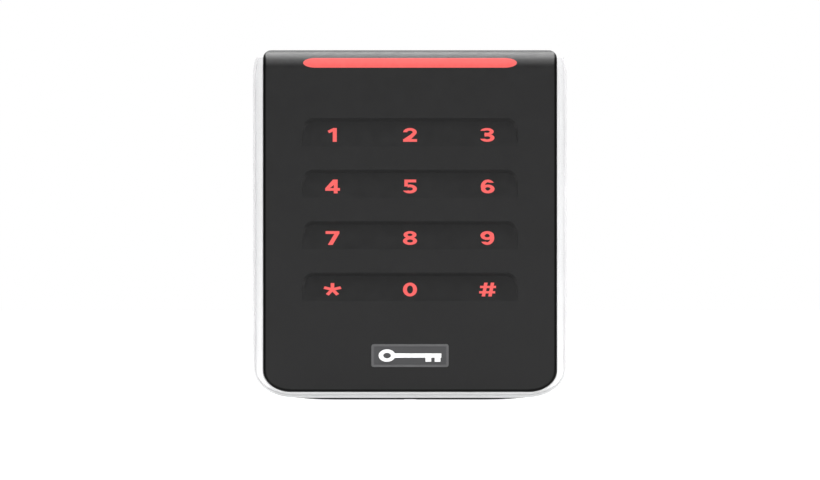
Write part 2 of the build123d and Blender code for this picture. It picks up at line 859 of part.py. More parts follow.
with BuildPart() as antenna_coil:
    with BuildSketch(facing(groove_back_y)):
        with Locations((0, antenna_middle_z)):
            RectangleRounded(2 * antenna_half_width - 2.2, antenna_height - 2.2, 3.9)
            RectangleRounded(
                2 * antenna_half_width - 5.6, antenna_height - 5.6, 2.6, mode=Mode.SUBTRACT
            )
    extrude(amount=1.1)
finish(antenna_coil, "antenna_coil")

connector_place = (24.0, -24.0)

with BuildPart() as ferrite_sheet:
    with BuildSketch(facing(ferrite_back_y)):
        with Locations((0, antenna_middle_z)):
            RectangleRounded(2 * antenna_half_width, antenna_height, 5.0)
        with Locations(connector_place):
            Rectangle(13.6, 4.6, mode=Mode.SUBTRACT)
    extrude(amount=ferrite_back_y - keypad_back_y)
finish(ferrite_sheet, "ferrite_sheet")


# ---------------------------------------------------------------- main board

main_half_width = 38.0
main_low_z = -41.5
main_high_z = 56.2
board_thickness = main_back_y - main_front_y
header_pin_radius = 0.5
pin_z = 21.0
terminal_xs = row_of(terminal_count, terminal_pitch)

with BuildPart() as main_board:
    with BuildSketch(facing(main_back_y)):
        with Locations((0, (main_low_z + main_high_z) / 2)):
            RectangleRounded(2 * main_half_width, main_high_z - main_low_z, 2.0)
        with Locations(*standoff_places):
            Circle(board_screw_radius + 0.2, mode=Mode.SUBTRACT)
        with Locations(*[(x, pin_z) for x in terminal_xs]):
            Circle(header_pin_radius, mode=Mode.SUBTRACT)
    extrude(amount=board_thickness)
finish(main_board, "main_board")

with BuildPart() as board_screws:
    with BuildSketch(facing(rear_wall_front_y - 0.5)):
        with Locations(*standoff_places):
            Circle(board_screw_radius)
    extrude(amount=rear_wall_front_y - 0.5 - main_front_y)
    with BuildSketch(facing(main_front_y)):
        with Locations(*standoff_places):
            Circle(1.9)
    extrude(amount=1.2)
finish(board_screws, "board_screws")


def front_component(name, places, length, height, thickness, corner=0.2):
    """Flat components on the front of the main board."""
    with BuildPart() as component:
        with BuildSketch(facing(main_front_y)):
            with Locations(*places):
                RectangleRounded(length, height, corner)
        extrude(amount=thickness)
    finish(component, name)


front_component("status_leds", [(x, lamp_row_z) for x in row_of(8, 9.0)], 1.6, 1.4, 0.9, 0.1)
front_component("processor", [(-14.0, 2.0)], 12.0, 12.0, 1.2, 0.5)
front_component("reader_chip", [(12.0, -8.0)], 7.0, 7.0, 0.9)
front_component("secure_element", [(-20.0, -18.0)], 6.0, 5.0, 1.2)
front_component("bluetooth_module", [(-22.0, 36.0)], 16.0, 12.0, 1.7, 0.4)
front_component("crystal", [(-2.0, -6.0)], 3.2, 2.5, 0.8)
capacitor_places = [(x, z) for x in (2.0, 8.0, 14.0, 20.0) for z in (4.0, 9.0)]
front_component("capacitors", capacitor_places, 2.0, 1.25, 0.9, 0.1)

# The two boards are joined by a plug and a socket that meet half way.
connector_meeting_y = -13.5

with BuildPart() as board_header:
    with BuildSketch(facing(main_front_y)):
        with Locations(connector_place):
            Rectangle(12.8, 3.8)
    extrude(amount=main_front_y - connector_meeting_y)
finish(board_header, "board_header")

with BuildPart() as board_socket:
    with BuildSketch(facing(connector_meeting_y)):
        with Locations(connector_place):
            Rectangle(12.8, 3.8)
    extrude(amount=connector_meeting_y - keypad_back_y)
finish(board_socket, "board_socket")

with BuildPart() as power_inductor:
    with BuildSketch(facing(main_back_y + 2.8)):
        with Locations((-22.0, 6.0)):
            RectangleRounded(7.0, 7.0, 1.6)
    extrude(amount=2.8)
finish(power_inductor, "power_inductor")

with BuildPart() as buzzer:
    with BuildSketch(facing(main_back_y + 3.2)):
        with Locations((-20.0, -20.0)):
            Circle(6.0)
            Circle(1.0, mode=Mode.SUBTRACT)
    extrude(amount=3.2)
finish(buzzer, "buzzer")


# ---------------------------------------------------------------- terminal block

header_end_y = -4.6
header_floor = 1.2
header_wall = 1.0
plug_gap = 0.3
plug_front_y = -10.0
plug_back_y = -0.8
screw_row_z = 23.5
wire_row_z = 19.1

with BuildPart() as terminal_header:
    with BuildSketch(facing(header_end_y)):
        with Locations((0, terminal_z)):
            Rectangle(2 * terminal_half_width, 2 * terminal_half_height)
    extrude(amount=header_end_y - main_back_y)
    with BuildSketch(facing(header_end_y)):
        with Locations((0, terminal_z)):
            Rectangle(
                2 * (terminal_half_width - header_wall), 2 * (terminal_half_height - header_wall)
            )
    extrude(amount=header_end_y - main_back_y - header_floor, mode=Mode.SUBTRACT)
    with BuildSketch(facing(header_end_y)):
        with Locations(*[(x, pin_z) for x in terminal_xs]):
            Circle(header_pin_radius)
    extrude(amount=10.0, mode=Mode.SUBTRACT)
finish(terminal_header, "terminal_header")

with BuildPart() as header_pins:
    with BuildSketch(facing(header_end_y - 0.3)):
        with Locations(*[(x, pin_z) for x in terminal_xs]):
            Circle(header_pin_radius)
    extrude(amount=header_end_y - 0.3 - main_front_y + 0.5)
finish(header_pins, "header_pins")

plug_half_width = terminal_half_width - header_wall - plug_gap
plug_half_height = terminal_half_height - header_wall - plug_gap
well_depth = 2.0
screw_shank_length = 3.6
cage_size = 2.4
cage_depth = 4.6

with BuildPart() as terminal_plug:
    with BuildSketch(facing(plug_back_y)):
        with Locations((0, terminal_z)):
            RectangleRounded(2 * plug_half_width, 2 * plug_half_height, 0.4)
    extrude(amount=plug_back_y - plug_front_y)
    with BuildSketch(facing(plug_front_y)):
        with Locations(*[(x, pin_z) for x in terminal_xs]):
            Circle(header_pin_radius + 0.15)
    extrude(amount=-5.6, mode=Mode.SUBTRACT)
    with BuildSketch(facing(plug_back_y)):
        with Locations(*[(x, screw_row_z) for x in terminal_xs]):
            Circle(1.35)
    extrude(amount=well_depth, mode=Mode.SUBTRACT)
    with BuildSketch(facing(plug_back_y - well_depth)):
        with Locations(*[(x, screw_row_z) for x in terminal_xs]):
            Circle(0.8)
    extrude(amount=screw_shank_length, mode=Mode.SUBTRACT)
    with BuildSketch(facing(plug_back_y)):
        with Locations(*[(x, wire_row_z) for x in terminal_xs]):
            Rectangle(cage_size, cage_size)
    extrude(amount=cage_depth, mode=Mode.SUBTRACT)
finish(terminal_plug, "terminal_plug")

with BuildPart() as terminal_screws:
    with BuildSketch(facing(plug_back_y - well_depth)):
        with Locations(*[(x, screw_row_z) for x in terminal_xs]):
            Circle(0.8)
    extrude(amount=screw_shank_length)
    with BuildSketch(facing(plug_back_y - 0.8)):
        with Locations(*[(x, screw_row_z) for x in terminal_xs]):
            Circle(1.2)
    extrude(amount=well_depth - 0.8)
    with BuildSketch(facing(plug_back_y - 0.8)):
        with Locations(*[(x, screw_row_z) for x in terminal_xs]):
            Rectangle(3.0, 0.45)
    extrude(amount=0.6, mode=Mode.SUBTRACT)
finish(terminal_screws, "terminal_screws")

with BuildPart() as terminal_clamps:
    with BuildSketch(facing(plug_back_y - 0.6)):
        with Locations(*[(x, wire_row_z) for x in terminal_xs]):
            Rectangle(cage_size, cage_size)
            Rectangle(cage_size - 0.8, cage_size - 0.8, mode=Mode.SUBTRACT)
    extrude(amount=cage_depth - 0.6)
finish(terminal_clamps, "terminal_clamps")


# ---------------------------------------------------------------- tamper switch

tamper_travel = 1.5
plunger_tip_y = -0.05
collar_back_y = rear_wall_front_y - tamper_travel - running_clearance
collar_thickness = 0.8
collar_radius = 2.7
nose_radius = 0.8
switch_height = 0.6
spring_radius = 2.0
spring_wire = 0.22

with BuildPart() as tamper_switch:
    with BuildSketch(facing(main_back_y + switch_height)):
        with Locations((tamper_x, tamper_z)):
            Circle(1.5)
    extrude(amount=switch_height)
finish(tamper_switch, "tamper_switch")

with BuildPart() as tamper_plunger:
    with BuildSketch(facing(plunger_tip_y)):
        with Locations((tamper_x, tamper_z)):
            Circle(tamper_shaft_radius)
    extrude(amount=plunger_tip_y - collar_back_y)
    fillet(tamper_plunger.edges().sort_by(Axis.Y)[-1], 0.6)
    with BuildSketch(facing(collar_back_y)):
        with Locations((tamper_x, tamper_z)):
            Circle(collar_radius)
    extrude(amount=collar_thickness)
    with BuildSketch(facing(collar_back_y - collar_thickness)):
        with Locations((tamper_x, tamper_z)):
            Circle(nose_radius)
    extrude(amount=collar_back_y - collar_thickness - main_back_y - switch_height - 0.02)
finish(tamper_plunger, "tamper_plunger")

# The spring is two open turns of wire between the board and the plunger's collar.
spring_rise = abs(collar_back_y - collar_thickness - main_back_y) - 2 * spring_wire - 0.04

with BuildPart() as tamper_spring:
    with BuildLine():
        spring_path = Helix(
            pitch=spring_rise / 2,
            height=spring_rise,
            radius=spring_radius,
            center=(tamper_x, main_back_y + spring_wire + 0.02, tamper_z),
            direction=(0, 1, 0),
        )
    with BuildSketch(Plane(spring_path @ 0, z_dir=spring_path % 0)):
        Circle(spring_wire)
    sweep(path=spring_path)
finish(tamper_spring, "tamper_spring")


# ---------------------------------------------------------------- mounting plate

plate_inset = recess_inset + plate_gap
window_low_z = 6.0
window_high_z = 37.0
window_half_width = 22.0
slot_length = 7.0
slot_width = 4.0
gang_spacing = 83.3           # single-gang wall box screws
metric_spacing = 60.3         # round wall box screws
tab_half_width = 6.0
tab_front_y = -7.8
insert_radius = 2.1
plate_back_y = 0.0

with BuildPart() as mounting_plate:
    with BuildSketch(facing(plate_back_y)):
        add(cover_outline(plate_inset, top_corner=1.0))
        with Locations((0, half_height)):
            Rectangle(across, 2 * (half_height - plate_top_z), mode=Mode.SUBTRACT)
        # Notches under the cradles.
        with Locations((-hook_x, plate_top_z), (hook_x, plate_top_z)):
            Rectangle(hook_bar_length, 3.6, mode=Mode.SUBTRACT)
        # The window for the cable and the terminal plug.
        with Locations((0, (window_low_z + window_high_z) / 2)):
            RectangleRounded(
                2 * window_half_width, window_high_z - window_low_z, 3.0, mode=Mode.SUBTRACT
            )
        # Screw slots for the two kinds of wall box.
        with Locations((0, -gang_spacing / 2), (0, gang_spacing / 2)):
            SlotOverall(slot_length, slot_width, rotation=90, mode=Mode.SUBTRACT)
        with Locations((-metric_spacing / 2, 0), (metric_spacing / 2, 0)):
            SlotOverall(slot_length, slot_width, mode=Mode.SUBTRACT)
        with Locations((tamper_x, tamper_z)):
            Circle(2.4, mode=Mode.SUBTRACT)
        # Room for the housing's screw boss.
        with Locations((0, cover_bottom_z)):
            Rectangle(
                2 * (boss_radius + 0.8), 2 * (tab_bottom_z - 0.3 - cover_bottom_z),
                mode=Mode.SUBTRACT,
            )
    extrude(amount=plate_thickness)
    # Hook arms and the round bars between them.
    for x in (-hook_x, hook_x):
        for side in (-1, 1):
            arm_middle = x + side * (hook_bar_length + hook_arm) / 2
            with BuildSketch(Plane.YZ.offset(arm_middle)):
                with BuildLine():
                    Polyline(
                        (-0.6, plate_top_z - 6.0),
                        (-plate_thickness, plate_top_z - 6.0),
                        (hinge_y - 0.95 * hook_bar_radius, hinge_z - 0.3),
                        (hinge_y + 0.95 * hook_bar_radius, hinge_z - 0.3),
                        (-0.6, plate_top_z - 0.2),
                        close=True,
                    )
                make_face()
                with Locations((hinge_y, hinge_z)):
                    Circle(hook_bar_radius)
            extrude(amount=hook_arm / 2, both=True)
        with BuildSketch(Plane.YZ.offset(x)):
            with Locations((hinge_y, hinge_z)):
                Circle(hook_bar_radius)
        extrude(amount=hook_bar_length / 2, both=True)
    # The tab that the security screw goes up into.
    with BuildSketch(facing(-plate_thickness)):
        with Locations((0, tab_bottom_z + tab_thickness / 2)):
            Rectangle(2 * tab_half_width, tab_thickness)
    extrude(amount=-plate_thickness - tab_front_y)
    for side in (-1, 1):
        with BuildSketch(Plane.YZ.offset(side * (tab_half_width - 0.75))):
            with BuildLine():
                Polyline(
                    (-plate_thickness, tab_bottom_z + tab_thickness - 0.2),
                    (-plate_thickness, tab_bottom_z + tab_thickness + 2.2),
                    (-plate_thickness - 2.2, tab_bottom_z + tab_thickness),
                    (-plate_thickness - 2.2, tab_bottom_z + tab_thickness - 0.2),
                    close=True,
                )
            make_face()
        extrude(amount=0.75, both=True)
    with BuildSketch(Plane.XY.offset(tab_bottom_z - 1.0)):
        with Locations((0, screw_y)):
            Circle(insert_radius)
    extrude(amount=tab_thickness + 2.0, mode=Mode.SUBTRACT)
finish(mounting_plate, "mounting_plate")

with BuildPart() as tab_insert:
    with BuildSketch(Plane.XY.offset(tab_bottom_z)):
        with Locations((0, screw_y)):
            Circle(insert_radius)
            Circle(thread_radius + running_clearance, mode=Mode.SUBTRACT)
    extrude(amount=tab_thickness)
finish(tab_insert, "tab_insert")


# ---------------------------------------------------------------- security screw

screw_advance = screw_turns * thread_pitch
# At rest the screw is backed out, with its washer this far below the seat.
washer_top_z = seat_z - running_clearance - screw_advance
bearing_z = washer_top_z - washer_thickness
head_bottom_z = bearing_z - head_height
socket_ring = 0.85

with BuildPart() as screw_washer:
    with BuildSketch(Plane.XY.offset(bearing_z)):
        with Locations((0, screw_y)):
            Circle(head_radius)
            Circle(thread_radius + running_clearance, mode=Mode.SUBTRACT)
    extrude(amount=washer_thickness)
finish(screw_washer, "screw_washer")

with BuildPart() as security_screw:
    with BuildSketch(Plane.XY.offset(head_bottom_z)):
        with Locations((0, screw_y)):
            Circle(head_radius)
    extrude(amount=head_height)
    fillet(security_screw.edges().group_by(Axis.Z)[0], 0.6)
    with BuildSketch(Plane.XY.offset(bearing_z)):
        with Locations((0, screw_y)):
            Circle(thread_radius)
    extrude(amount=shank_length)
    chamfer(security_screw.edges().group_by(Axis.Z)[-1], 0.5)
    # A six-lobed socket with a pin in its middle.
    with BuildSketch(Plane.XY.offset(head_bottom_z)):
        with Locations((0, screw_y)):
            Circle(1.0)
            with PolarLocations(socket_ring, 6):
                Circle(0.42)
            Circle(0.36, mode=Mode.SUBTRACT)
    extrude(amount=1.3, mode=Mode.SUBTRACT)
finish(security_screw, "security_screw")
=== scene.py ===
import json
import math

import bmesh
import bpy
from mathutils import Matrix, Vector


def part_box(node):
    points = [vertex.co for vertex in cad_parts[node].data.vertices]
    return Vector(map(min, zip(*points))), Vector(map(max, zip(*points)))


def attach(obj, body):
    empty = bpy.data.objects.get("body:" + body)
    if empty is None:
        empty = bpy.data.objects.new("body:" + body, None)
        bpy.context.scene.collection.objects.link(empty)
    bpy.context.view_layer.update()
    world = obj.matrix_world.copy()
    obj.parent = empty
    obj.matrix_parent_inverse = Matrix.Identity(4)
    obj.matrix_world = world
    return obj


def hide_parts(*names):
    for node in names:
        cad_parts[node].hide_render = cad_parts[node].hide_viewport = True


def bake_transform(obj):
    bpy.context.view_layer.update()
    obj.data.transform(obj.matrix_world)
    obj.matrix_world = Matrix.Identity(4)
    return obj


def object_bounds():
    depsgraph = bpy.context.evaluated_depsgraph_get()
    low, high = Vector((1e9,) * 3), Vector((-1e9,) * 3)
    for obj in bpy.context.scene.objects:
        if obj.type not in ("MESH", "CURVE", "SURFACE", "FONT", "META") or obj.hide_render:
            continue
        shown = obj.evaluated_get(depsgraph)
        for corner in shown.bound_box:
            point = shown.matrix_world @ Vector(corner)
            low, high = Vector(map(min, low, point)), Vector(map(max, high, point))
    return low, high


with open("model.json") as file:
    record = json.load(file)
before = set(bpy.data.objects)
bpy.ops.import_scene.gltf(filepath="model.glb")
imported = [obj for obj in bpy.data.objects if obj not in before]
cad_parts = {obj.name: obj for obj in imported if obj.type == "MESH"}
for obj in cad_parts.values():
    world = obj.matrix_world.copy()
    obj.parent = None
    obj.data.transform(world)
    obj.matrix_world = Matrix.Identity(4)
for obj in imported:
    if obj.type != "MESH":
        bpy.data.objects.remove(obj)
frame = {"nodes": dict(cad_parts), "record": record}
cad_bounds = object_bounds()
nodes = frame["nodes"]
scene = bpy.context.scene
MM = 0.001

# ---------------------------------------------------------------- node helpers


class Tree:
    """A material's nodes, in the object's own coordinates, which are metres in the shared frame."""

    def __init__(self, name):
        self.material = bpy.data.materials.new(name)
        self.material.use_nodes = True
        self.tree = self.material.node_tree
        self.tree.nodes.clear()
        self.output = self.add("ShaderNodeOutputMaterial")
        self.shader = self.add("ShaderNodeBsdfPrincipled")
        self.join(self.shader, "BSDF", self.output, "Surface")
        self.place = self.add("ShaderNodeTexCoord").outputs["Object"]

    def add(self, kind, **settings):
        node = self.tree.nodes.new(kind)
        for name, value in settings.items():
            setattr(node, name, value)
        return node

    def link(self, source, target):
        self.tree.links.new(source, target)

    def join(self, node, output, other, socket):
        self.tree.links.new(node.outputs[output], other.inputs[socket])

    def put(self, node, socket, value):
        """Set an input to a number or colour, or link it to an output."""
        target = node.inputs[socket]
        if isinstance(value, bpy.types.NodeSocket):
            self.link(value, target)
        else:
            target.default_value = value

    def stretched(self, scale):
        node = self.add("ShaderNodeMapping")
        self.put(node, "Vector", self.place)
        node.inputs["Scale"].default_value = scale
        return node.outputs["Vector"]

    def noise(self, size, detail=3.0, rough=0.55, vector=None):
        """Noise whose features are about size metres across."""
        node = self.add("ShaderNodeTexNoise")
        self.put(node, "Vector", vector or self.place)
        node.inputs["Scale"].default_value = 1.0 / size
        node.inputs["Detail"].default_value = detail
        node.inputs["Roughness"].default_value = rough
        node.inputs["Distortion"].default_value = 0.0
        return node.outputs["Fac"]

    def cells(self, size):
        """Distance from scattered points about size metres apart."""
        node = self.add("ShaderNodeTexVoronoi", feature="F1")
        self.put(node, "Vector", self.place)
        node.inputs["Scale"].default_value = 1.0 / size
        return node.outputs["Distance"]

    def slanted_bands(self, size):
        """Slanting waves, a little over size metres apart."""
        node = self.add("ShaderNodeTexWave", wave_type="BANDS", bands_direction="DIAGONAL")
        self.put(node, "Vector", self.place)
        # At a scale of 1 these waves are about a third of a unit apart.
        node.inputs["Scale"].default_value = 0.314 / size
        node.inputs["Distortion"].default_value = 0.0
        node.inputs["Detail"].default_value = 1.0
        return node.outputs["Fac"]

    def maths(self, operation, a, b=0.0, clamp=False):
        node = self.add("ShaderNodeMath", operation=operation, use_clamp=clamp)
        self.put(node, 0, a)
        self.put(node, 1, b)
        return node.outputs[0]

    def spread(self, value, low, high, to_low=0.0, to_high=1.0):
        node = self.add("ShaderNodeMapRange")
        self.put(node, "Value", value)
        node.inputs["From Min"].default_value = low
        node.inputs["From Max"].default_value = high
        node.inputs["To Min"].default_value = to_low
        node.inputs["To Max"].default_value = to_high
        return node.outputs["Result"]

    def mixed(self, share, first, second):
        node = self.add("ShaderNodeMix", data_type="RGBA")
        self.put(node, "Factor", share)
        colours = [socket for socket in node.inputs if socket.type == "RGBA"]
        for socket, colour in zip(colours, (first, second)):
            if isinstance(colour, bpy.types.NodeSocket):
                self.link(colour, socket)
            else:
                socket.default_value = (*colour, 1.0)
        return [socket for socket in node.outputs if socket.type == "RGBA"][0]

    def bumped(self, heights):
        """Bump from (height output, depth in metres) pairs, one over the other."""
        normal = None
        for height, depth in heights:
            node = self.add("ShaderNodeBump")
            node.inputs["Strength"].default_value = 1.0
            node.inputs["Distance"].default_value = depth
            self.put(node, "Height", height)
            if normal is not None:
                self.link(normal, node.inputs["Normal"])
            normal = node.outputs["Normal"]
        self.put(self.shader, "Normal", normal)

    def edges(self, radius):
        """A mask that is 1 on sharp edges, found by rounding the surface's normal."""
        soft = self.add("ShaderNodeBevel", samples=4)
        soft.inputs["Radius"].default_value = radius
        plain = self.add("ShaderNodeNewGeometry")
        dot = self.add("ShaderNodeVectorMath", operation="DOT_PRODUCT")
        self.link(soft.outputs["Normal"], dot.inputs[0])
        self.link(plain.outputs["Normal"], dot.inputs[1])
        return self.spread(dot.outputs["Value"], 0.97, 0.80)

    def axis(self, letter):
        """One coordinate of the place, in metres."""
        node = self.add("ShaderNodeSeparateXYZ")
        self.link(self.place, node.inputs[0])
        return node.outputs[letter]

    def turn(self, letter):
        """One component of the surface's direction, in the object's own coordinates."""
        node = self.add("ShaderNodeSeparateXYZ")
        self.join(self.add("ShaderNodeTexCoord"), "Normal", node, 0)
        return node.outputs[letter]


RUBBED_POLISH = 0.12          # how much rubbing takes off a plastic edge's roughness
TARNISH = 0.10                # how much darker a metal's dull patches are


def shade(colour, factor):
    return tuple(min(1.0, channel * factor) for channel in colour)


def moulded(
    name, colour, rough, grain, depth, specular=0.5, blotch=0.08, wear=0.35, coarse=None
):
    """Moulded plastic: fine spark-eroded grain, uneven gloss, faint blotches and rubbed edges."""
    t = Tree(name)
    fine = t.noise(grain, detail=4.0, rough=0.6)
    broad = t.noise(14 * MM, detail=2.0)
    middle = t.noise(3.0 * MM, detail=3.0)
    cloud = t.spread(broad, 0.3, 0.7)
    body = t.mixed(cloud, shade(colour, 1 - blotch), shade(colour, 1 + blotch))
    speck = t.spread(fine, 0.60, 0.78)
    body = t.mixed(t.maths("MULTIPLY", speck, 0.35), body, shade(colour, 1.5))
    edge = t.edges(0.25 * MM)
    rubbed = t.maths("MULTIPLY", edge, t.spread(middle, 0.35, 0.65), clamp=True)
    body = t.mixed(t.maths("MULTIPLY", rubbed, wear), body, shade(colour, 2.2))
    t.put(t.shader, "Base Color", body)
    gloss = t.spread(middle, 0.3, 0.7, rough - 0.05, rough + 0.05)
    gloss = t.maths("SUBTRACT", gloss, t.maths("MULTIPLY", rubbed, RUBBED_POLISH))
    t.put(t.shader, "Roughness", gloss)
    t.shader.inputs["Specular IOR Level"].default_value = specular
    heights = [(fine, depth)]
    if coarse:
        heights.append((t.noise(coarse[0], detail=2.0), coarse[1]))
    t.bumped(heights)
    return t.material


def metal(name, colour, rough, streak, depth, stretch=(1, 1, 1)):
    """Metal with fine drawn streaks, uneven polish and a little tarnish away from its edges."""
    t = Tree(name)
    drawn = t.stretched(stretch)
    lines = t.noise(streak, detail=5.0, rough=0.65, vector=drawn)
    cloud = t.spread(t.noise(5 * MM, detail=3.0), 0.3, 0.7)
    body = t.mixed(cloud, shade(colour, 1 - TARNISH), colour)
    edge = t.edges(0.12 * MM)
    body = t.mixed(t.maths("MULTIPLY", edge, 0.5), body, shade(colour, 1.25))
    t.put(t.shader, "Base Color", body)
    gloss = t.spread(lines, 0.3, 0.7, rough - 0.08, rough + 0.08)
    t.put(t.shader, "Roughness", gloss)
    t.shader.inputs["Metallic"].default_value = 1.0
    t.bumped([(lines, depth)])
    return t.material


# ---------------------------------------------------------------- materials


def cover_material():
    """Fine matt black, with painted shade on the side and bottom edges and the scoops' steps, given
    as a darker, near-black metal finish.
    """
    side_edge = 42.0 * MM
    bottom_edge = -51.0 * MM
    keypad_top = 41.0 * MM
    keypad_bottom = -38.0 * MM
    fade = 1.0 * MM
    t = Tree("cover_black")
    colour = (0.0052, 0.0052, 0.0054)
    fine = t.noise(0.45 * MM, detail=4.0, rough=0.6)
    middle = t.noise(3.0 * MM, detail=3.0)
    cloud = t.spread(t.noise(14 * MM, detail=2.0), 0.3, 0.7)
    body = t.mixed(cloud, shade(colour, 0.94), shade(colour, 1.06))
    body = t.mixed(t.spread(fine, 0.60, 0.78, 0.0, 0.35), body, shade(colour, 1.5))
    # The rim is where the surface turns sideways or down, outside the scoops and the badge. Its
    # darkness is painted shade.
    beside = t.spread(t.maths("ABSOLUTE", t.axis("X")), side_edge, side_edge + fade)
    beneath = t.spread(t.axis("Z"), bottom_edge, bottom_edge - fade)
    around = t.maths("MAXIMUM", beside, beneath)
    sideways = t.maths("ABSOLUTE", t.turn("X"))
    downwards = t.maths("MULTIPLY", t.turn("Z"), -1.0)
    turned = t.spread(t.maths("MAXIMUM", sideways, downwards), 0.06, 0.40)
    rim = t.maths("MULTIPLY", around, turned, clamp=True)
    # Inside the keypad's area only the scoops' steps turn down. They get part of the same painted
    # shade, as a painted shadow under each step.
    within = t.maths("SUBTRACT", 1.0, around)
    step = t.maths("MULTIPLY", within, t.spread(downwards, 0.08, 0.45, 0.0, 0.45))
    below_top = t.spread(t.axis("Z"), keypad_top, keypad_top - fade)
    above_bottom = t.spread(t.axis("Z"), keypad_bottom, keypad_bottom + fade)
    on_keypad = t.maths("MULTIPLY", below_top, above_bottom)
    step = t.maths("MULTIPLY", step, on_keypad, clamp=True)
    rim = t.maths("MAXIMUM", rim, step)
    # Painted shade: the rim and the steps are mixed to near-black and made metallic, so that they
    # read dark.
    body = t.mixed(rim, body, (0.004, 0.004, 0.004))
    t.put(t.shader, "Base Color", body)
    t.put(t.shader, "Metallic", rim)
    t.put(t.shader, "Roughness", t.spread(middle, 0.3, 0.7, 0.38, 0.46))
    t.shader.inputs["Specular IOR Level"].default_value = 0.25
    t.bumped([(fine, 0.012 * MM)])
    return t.material


def trim_material():
    """Satin silver, with its steep walls a darker metal, streaked upright, behind the front lip; the
    walls' darker colour is painted shade.
    """
    t = Tree("trim_silver")
    flake = t.noise(0.28 * MM, detail=4.0, rough=0.7)
    broad = t.spread(t.noise(18 * MM, detail=2.0), 0.3, 0.7)
    body = t.mixed(broad, (0.61, 0.61, 0.615), (0.66, 0.66, 0.665))
    body = t.mixed(t.spread(flake, 0.62, 0.8, 0.0, 0.35), body, (0.75, 0.75, 0.75))
    # The walls are the surfaces square to the front, or nearly. They are painted darker, as shade,
    # so that they read less bright from the side.
    wall = t.spread(t.maths("ABSOLUTE", t.turn("Y")), 0.30, 0.12)
    streak = t.noise(0.35 * MM, detail=3.0, vector=t.stretched((1.0, 1.0, 0.03)))
    # Painted shade with brushed streaks: the walls get a darker base than the lip, streaked along
    # their length.
    brushed_and_shaded = t.mixed(t.spread(streak, 0.3, 0.7), (0.36, 0.36, 0.365), (0.46, 0.46, 0.465))
    t.put(t.shader, "Base Color", t.mixed(wall, body, brushed_and_shaded))
    t.put(t.shader, "Roughness", t.spread(flake, 0.3, 0.7, 0.26, 0.36))
    t.put(t.shader, "Metallic", t.spread(wall, 0.0, 1.0, 0.35, 0.85))
    t.bumped([(flake, 0.004 * MM)])
    return t.material


def badge_material():
    """Satin dark grey field with painted shade, lighter at its top, and the paler raised border,
    strongest at its outer edge and varied by noise.
    """
    t = Tree("badge_grey")
    dark = (0.036, 0.036, 0.038)
    # How far in from the plate's edge the border fades out, and where it is whole.
    side_fade = 1.1 * MM
    side_whole = 0.6 * MM
    top_fade = 0.95 * MM
    top_whole = 0.65 * MM
    low_corner, high_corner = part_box("badge_plate")
    middle_z = (low_corner[2] + high_corner[2]) / 2
    across = t.maths("ABSOLUTE", t.axis("X"))
    from_side = t.spread(across, high_corner[0] - side_fade, high_corner[0] - side_whole)
    upright = t.maths("ABSOLUTE", t.maths("SUBTRACT", t.axis("Z"), middle_z))
    half_height = (high_corner[2] - low_corner[2]) / 2
    from_top = t.spread(upright, half_height - top_fade, half_height - top_whole)
    border = t.maths("MAXIMUM", from_side, from_top)
    grain = t.noise(0.25 * MM, detail=4.0)
    # Painted shade down the field: lighter at its top, darker at its bottom edge.
    painted_shade_fall = t.spread(t.axis("Z"), low_corner[2], high_corner[2], 0.0, 1.0)
    field = t.mixed(painted_shade_fall, shade(dark, 0.95), shade(dark, 1.15))
    field = t.mixed(t.spread(grain, 0.55, 0.8, 0.0, 0.3), field, shade(dark, 1.6))
    # A paler band along the plate's edge, its strength varied by noise.
    rubbed = t.maths("MULTIPLY", border, t.spread(t.noise(2.0 * MM), 0.3, 0.7, 0.75, 1.0))
    t.put(t.shader, "Base Color", t.mixed(rubbed, field, (0.078, 0.078, 0.080)))
    t.put(t.shader, "Roughness", t.spread(grain, 0.3, 0.7, 0.36, 0.46))
    t.shader.inputs["Specular IOR Level"].default_value = 0.4
    t.bumped([(grain, 0.006 * MM)])
    return t.material


def mark_material():
    """The key symbol's gloss white, faintly streaked."""
    t = Tree("badge_white")
    streak = t.noise(1.2 * MM, detail=3.0, vector=t.stretched((1.0, 1.0, 0.25)))
    cloud = t.spread(streak, 0.3, 0.7)
    t.put(t.shader, "Base Color", t.mixed(cloud, (0.60, 0.60, 0.60), (0.86, 0.86, 0.86)))
    t.put(t.shader, "Roughness", t.spread(cloud, 0.0, 1.0, 0.34, 0.26))
    t.bumped([(t.noise(0.3 * MM), 0.004 * MM)])
    return t.material


def lit_material():
    """Milky red plastic lit from behind, faintly mottled."""
    t = Tree("light_red")
    glow = (1.0, 0.148, 0.140)
    mottle = t.spread(t.noise(1.6 * MM, detail=3.0), 0.3, 0.7)
    colour = t.mixed(mottle, shade(glow, 0.97), (1.0, 0.160, 0.152))
    t.put(t.shader, "Emission Color", colour)
    t.shader.inputs["Emission Strength"].default_value = 0.97
    t.put(t.shader, "Base Color", t.mixed(mottle, (0.020, 0.001, 0.001), (0.030, 0.002, 0.002)))
    t.put(t.shader, "Roughness", t.spread(mottle, 0.0, 1.0, 0.30, 0.42))
    t.shader.inputs["Specular IOR Level"].default_value = 0.12
    t.bumped([(t.noise(0.3 * MM), 0.004 * MM)])
    return t.material


